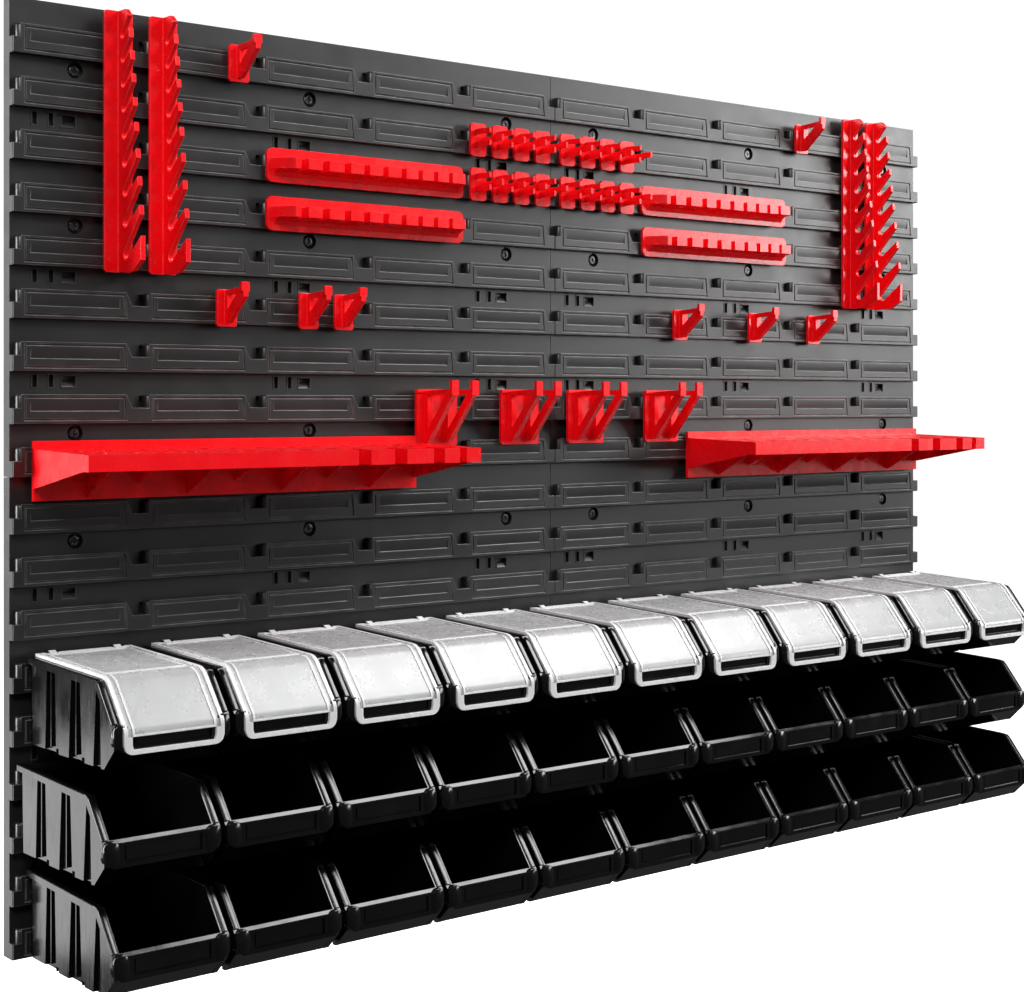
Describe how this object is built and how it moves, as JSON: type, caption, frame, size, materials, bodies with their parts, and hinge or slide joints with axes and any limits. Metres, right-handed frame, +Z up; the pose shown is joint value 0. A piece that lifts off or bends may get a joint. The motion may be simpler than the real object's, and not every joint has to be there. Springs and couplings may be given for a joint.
{
  "type": "pegboard tool wall",
  "caption": "Wall-mounted tool board of four slotted black panels with red tool holders and rows of black stacking bins, the top row with clear hinged lids.",
  "frame": {"origin": "centre of the wall's back face, on the wall plane, where the four panels meet", "axes": "+X to the right along the wall seen from the front, +Z up, the front faces -Y and the back face points to +Y"},
  "size_m": [1.157, 0.1748, 0.78],
  "materials": {
    "panel_black": "fine grained, matte",
    "holder_red": "satin to gloss",
    "bin_black": "polished",
    "lid_clear": "clear, slightly frosted",
    "screw_steel": "zinc plated"
  },
  "bodies": {
    "wall": {"wall_panel_top_left": "panel_black", "wall_panel_top_right": "panel_black", "wall_panel_bottom_left": "panel_black", "wall_panel_bottom_right": "panel_black", "wall_screws": "screw_steel", "single_hooks": "holder_red", "double_hooks": "holder_red", "spanner_racks_left": "holder_red", "spanner_racks_right": "holder_red", "bit_racks_left": "holder_red", "bit_racks_right": "holder_red", "tool_clips_left": "holder_red", "tool_clips_right": "holder_red", "tool_shelf_left": "holder_red", "tool_shelf_right": "holder_red"},
    "bin_1_01": {"bin_1_01": "bin_black"},
    "bin_1_02": {"bin_1_02": "bin_black"},
    "bin_1_03": {"bin_1_03": "bin_black"},
    "bin_1_04": {"bin_1_04": "bin_black"},
    "bin_1_05": {"bin_1_05": "bin_black"},
    "bin_1_06": {"bin_1_06": "bin_black"},
    "bin_1_07": {"bin_1_07": "bin_black"},
    "bin_1_08": {"bin_1_08": "bin_black"},
    "bin_1_09": {"bin_1_09": "bin_black"},
    "bin_1_10": {"bin_1_10": "bin_black"},
    "bin_1_11": {"bin_1_11": "bin_black"},
    "bin_2_01": {"bin_2_01": "bin_black"},
    "bin_2_02": {"bin_2_02": "bin_black"},
    "bin_2_03": {"bin_2_03": "bin_black"},
    "bin_2_04": {"bin_2_04": "bin_black"},
    "bin_2_05": {"bin_2_05": "bin_black"},
    "bin_2_06": {"bin_2_06": "bin_black"},
    "bin_2_07": {"bin_2_07": "bin_black"},
    "bin_2_08": {"bin_2_08": "bin_black"},
    "bin_2_09": {"bin_2_09": "bin_black"},
    "bin_2_10": {"bin_2_10": "bin_black"},
    "bin_2_11": {"bin_2_11": "bin_black"},
    "bin_3_01": {"bin_3_01": "bin_black"},
    "bin_3_02": {"bin_3_02": "bin_black"},
    "bin_3_03": {"bin_3_03": "bin_black"},
    "bin_3_04": {"bin_3_04": "bin_black"},
    "bin_3_05": {"bin_3_05": "bin_black"},
    "bin_3_06": {"bin_3_06": "bin_black"},
    "bin_3_07": {"bin_3_07": "bin_black"},
    "bin_3_08": {"bin_3_08": "bin_black"},
    "bin_3_09": {"bin_3_09": "bin_black"},
    "bin_3_10": {"bin_3_10": "bin_black"},
    "bin_3_11": {"bin_3_11": "bin_black"},
    "lid_01": {"lid_01": "lid_clear"},
    "lid_02": {"lid_02": "lid_clear"},
    "lid_03": {"lid_03": "lid_clear"},
    "lid_04": {"lid_04": "lid_clear"},
    "lid_05": {"lid_05": "lid_clear"},
    "lid_06": {"lid_06": "lid_clear"},
    "lid_07": {"lid_07": "lid_clear"},
    "lid_08": {"lid_08": "lid_clear"},
    "lid_09": {"lid_09": "lid_clear"},
    "lid_10": {"lid_10": "lid_clear"},
    "lid_11": {"lid_11": "lid_clear"}
  },
  "joints": [
    {"name": "bin_1_01_lift", "type": "slide", "parent": "wall", "child": "bin_1_01", "axis": [0, 0, 1], "range_m": [0, 0.011]},
    {"name": "bin_1_02_lift", "type": "slide", "parent": "wall", "child": "bin_1_02", "axis": [0, 0, 1], "range_m": [0, 0.011]},
    {"name": "bin_1_03_lift", "type": "slide", "parent": "wall", "child": "bin_1_03", "axis": [0, 0, 1], "range_m": [0, 0.011]},
    {"name": "bin_1_04_lift", "type": "slide", "parent": "wall", "child": "bin_1_04", "axis": [0, 0, 1], "range_m": [0, 0.011]},
    {"name": "bin_1_05_lift", "type": "slide", "parent": "wall", "child": "bin_1_05", "axis": [0, 0, 1], "range_m": [0, 0.011]},
    {"name": "bin_1_06_lift", "type": "slide", "parent": "wall", "child": "bin_1_06", "axis": [0, 0, 1], "range_m": [0, 0.011]},
    {"name": "bin_1_07_lift", "type": "slide", "parent": "wall", "child": "bin_1_07", "axis": [0, 0, 1], "range_m": [0, 0.011]},
    {"name": "bin_1_08_lift", "type": "slide", "parent": "wall", "child": "bin_1_08", "axis": [0, 0, 1], "range_m": [0, 0.011]},
    {"name": "bin_1_09_lift", "type": "slide", "parent": "wall", "child": "bin_1_09", "axis": [0, 0, 1], "range_m": [0, 0.011]},
    {"name": "bin_1_10_lift", "type": "slide", "parent": "wall", "child": "bin_1_10", "axis": [0, 0, 1], "range_m": [0, 0.011]},
    {"name": "bin_1_11_lift", "type": "slide", "parent": "wall", "child": "bin_1_11", "axis": [0, 0, 1], "range_m": [0, 0.011]},
    {"name": "bin_2_01_lift", "type": "slide", "parent": "wall", "child": "bin_2_01", "axis": [0, 0, 1], "range_m": [0, 0.011]},
    {"name": "bin_2_02_lift", "type": "slide", "parent": "wall", "child": "bin_2_02", "axis": [0, 0, 1], "range_m": [0, 0.011]},
    {"name": "bin_2_03_lift", "type": "slide", "parent": "wall", "child": "bin_2_03", "axis": [0, 0, 1], "range_m": [0, 0.011]},
    {"name": "bin_2_04_lift", "type": "slide", "parent": "wall", "child": "bin_2_04", "axis": [0, 0, 1], "range_m": [0, 0.011]},
    {"name": "bin_2_05_lift", "type": "slide", "parent": "wall", "child": "bin_2_05", "axis": [0, 0, 1], "range_m": [0, 0.011]},
    {"name": "bin_2_06_lift", "type": "slide", "parent": "wall", "child": "bin_2_06", "axis": [0, 0, 1], "range_m": [0, 0.011]},
    {"name": "bin_2_07_lift", "type": "slide", "parent": "wall", "child": "bin_2_07", "axis": [0, 0, 1], "range_m": [0, 0.011]},
    {"name": "bin_2_08_lift", "type": "slide", "parent": "wall", "child": "bin_2_08", "axis": [0, 0, 1], "range_m": [0, 0.011]},
    {"name": "bin_2_09_lift", "type": "slide", "parent": "wall", "child": "bin_2_09", "axis": [0, 0, 1], "range_m": [0, 0.011]},
    {"name": "bin_2_10_lift", "type": "slide", "parent": "wall", "child": "bin_2_10", "axis": [0, 0, 1], "range_m": [0, 0.011]},
    {"name": "bin_2_11_lift", "type": "slide", "parent": "wall", "child": "bin_2_11", "axis": [0, 0, 1], "range_m": [0, 0.011]},
    {"name": "bin_3_01_lift", "type": "slide", "parent": "wall", "child": "bin_3_01", "axis": [0, 0, 1], "range_m": [0, 0.011]},
    {"name": "bin_3_02_lift", "type": "slide", "parent": "wall", "child": "bin_3_02", "axis": [0, 0, 1], "range_m": [0, 0.011]},
    {"name": "bin_3_03_lift", "type": "slide", "parent": "wall", "child": "bin_3_03", "axis": [0, 0, 1], "range_m": [0, 0.011]},
    {"name": "bin_3_04_lift", "type": "slide", "parent": "wall", "child": "bin_3_04", "axis": [0, 0, 1], "range_m": [0, 0.011]},
    {"name": "bin_3_05_lift", "type": "slide", "parent": "wall", "child": "bin_3_05", "axis": [0, 0, 1], "range_m": [0, 0.011]},
    {"name": "bin_3_06_lift", "type": "slide", "parent": "wall", "child": "bin_3_06", "axis": [0, 0, 1], "range_m": [0, 0.011]},
    {"name": "bin_3_07_lift", "type": "slide", "parent": "wall", "child": "bin_3_07", "axis": [0, 0, 1], "range_m": [0, 0.011]},
    {"name": "bin_3_08_lift", "type": "slide", "parent": "wall", "child": "bin_3_08", "axis": [0, 0, 1], "range_m": [0, 0.011]},
    {"name": "bin_3_09_lift", "type": "slide", "parent": "wall", "child": "bin_3_09", "axis": [0, 0, 1], "range_m": [0, 0.011]},
    {"name": "bin_3_10_lift", "type": "slide", "parent": "wall", "child": "bin_3_10", "axis": [0, 0, 1], "range_m": [0, 0.011]},
    {"name": "bin_3_11_lift", "type": "slide", "parent": "wall", "child": "bin_3_11", "axis": [0, 0, 1], "range_m": [0, 0.011]},
    {"name": "lid_01_hinge", "type": "hinge", "parent": "bin_1_01", "child": "lid_01", "pos_m": [-0.515, -0.0215, -0.1434], "axis": [-1, 0, 0], "range_deg": [0, 70]},
    {"name": "lid_02_hinge", "type": "hinge", "parent": "bin_1_02", "child": "lid_02", "pos_m": [-0.4104, -0.0215, -0.1434], "axis": [-1, 0, 0], "range_deg": [0, 70]},
    {"name": "lid_03_hinge", "type": "hinge", "parent": "bin_1_03", "child": "lid_03", "pos_m": [-0.3058, -0.0215, -0.1434], "axis": [-1, 0, 0], "range_deg": [0, 70]},
    {"name": "lid_04_hinge", "type": "hinge", "parent": "bin_1_04", "child": "lid_04", "pos_m": [-0.2012, -0.0215, -0.1434], "axis": [-1, 0, 0], "range_deg": [0, 70]},
    {"name": "lid_05_hinge", "type": "hinge", "parent": "bin_1_05", "child": "lid_05", "pos_m": [-0.0966, -0.0215, -0.1434], "axis": [-1, 0, 0], "range_deg": [0, 70]},
    {"name": "lid_06_hinge", "type": "hinge", "parent": "bin_1_06", "child": "lid_06", "pos_m": [0.008, -0.0215, -0.1434], "axis": [-1, 0, 0], "range_deg": [0, 70]},
    {"name": "lid_07_hinge", "type": "hinge", "parent": "bin_1_07", "child": "lid_07", "pos_m": [0.1126, -0.0215, -0.1434], "axis": [-1, 0, 0], "range_deg": [0, 70]},
    {"name": "lid_08_hinge", "type": "hinge", "parent": "bin_1_08", "child": "lid_08", "pos_m": [0.2172, -0.0215, -0.1434], "axis": [-1, 0, 0], "range_deg": [0, 70]},
    {"name": "lid_09_hinge", "type": "hinge", "parent": "bin_1_09", "child": "lid_09", "pos_m": [0.3218, -0.0215, -0.1434], "axis": [-1, 0, 0], "range_deg": [0, 70]},
    {"name": "lid_10_hinge", "type": "hinge", "parent": "bin_1_10", "child": "lid_10", "pos_m": [0.4264, -0.0215, -0.1434], "axis": [-1, 0, 0], "range_deg": [0, 70]},
    {"name": "lid_11_hinge", "type": "hinge", "parent": "bin_1_11", "child": "lid_11", "pos_m": [0.531, -0.0215, -0.1434], "axis": [-1, 0, 0], "range_deg": [0, 70]}
  ]
}
